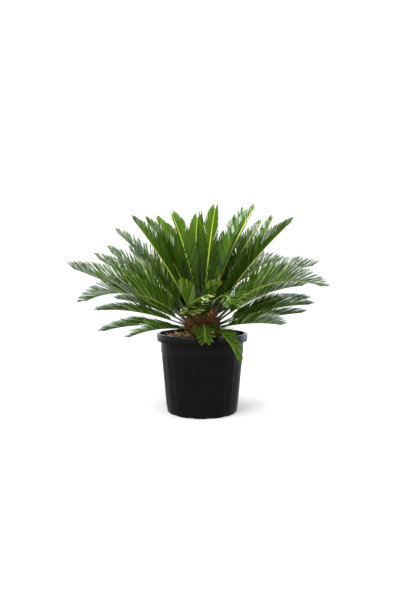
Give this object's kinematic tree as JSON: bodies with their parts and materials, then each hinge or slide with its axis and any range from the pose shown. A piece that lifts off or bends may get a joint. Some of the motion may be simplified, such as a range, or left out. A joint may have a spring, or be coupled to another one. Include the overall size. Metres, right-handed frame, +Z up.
{
  "type": "potted sago palm",
  "caption": "Cycad with a short scaly caudex and a spreading crown of stiff feather-shaped fronds, standing in a round black nursery pot.",
  "frame": {"origin": "centre of the pot's flat underside, on the surface that it stands on", "axes": "+Z up along the pot's axis, +X to the right and -Y towards the open front of the crown, where the caudex shows"},
  "size_m": [1.1559, 0.9791, 0.9711],
  "materials": {
    "pot": "black moulded nursery-pot plastic, satin, with fine scuffs and a greyer rim",
    "potting_mix": "loose dark bark and compost with dry tan leaf-base scales lying on it",
    "caudex": "rough, felted red-brown fibres and papery leaf-base scales",
    "frond": "leathery leaflets, satin deep green with a paler yellow-green rib"
  },
  "bodies": {
    "root": {"pot": "pot", "potting_mix": "potting_mix", "caudex": "caudex", "frond_upright_1": "frond", "frond_upright_2": "frond", "frond_upright_3": "frond", "frond_upright_4": "frond", "frond_upright_5": "frond", "frond_upright_6": "frond", "frond_upright_7": "frond", "frond_upright_8": "frond", "frond_upright_9": "frond", "frond_upright_10": "frond", "frond_upright_11": "frond", "frond_upright_12": "frond", "frond_left_1": "frond", "frond_left_2": "frond", "frond_left_3": "frond", "frond_left_4": "frond", "frond_left_5": "frond", "frond_left_6": "frond", "frond_left_7": "frond", "frond_left_8": "frond", "frond_left_9": "frond", "frond_left_10": "frond", "frond_right_1": "frond", "frond_right_2": "frond", "frond_right_3": "frond", "frond_right_4": "frond", "frond_right_5": "frond", "frond_right_6": "frond", "frond_right_7": "frond", "frond_right_8": "frond", "frond_right_9": "frond", "frond_front_1": "frond", "frond_front_2": "frond", "frond_front_3": "frond", "frond_front_4": "frond", "frond_front_5": "frond", "frond_front_6": "frond", "frond_front_7": "frond", "frond_back_1": "frond", "frond_back_2": "frond", "frond_back_3": "frond", "frond_back_4": "frond", "frond_back_5": "frond", "frond_back_6": "frond", "frond_back_7": "frond", "frond_back_8": "frond", "frond_back_9": "frond", "frond_back_10": "frond", "frond_back_11": "frond", "frond_back_12": "frond", "frond_back_13": "frond", "frond_heart_1": "frond", "frond_heart_2": "frond", "frond_heart_3": "frond"}
  },
  "joints": []
}
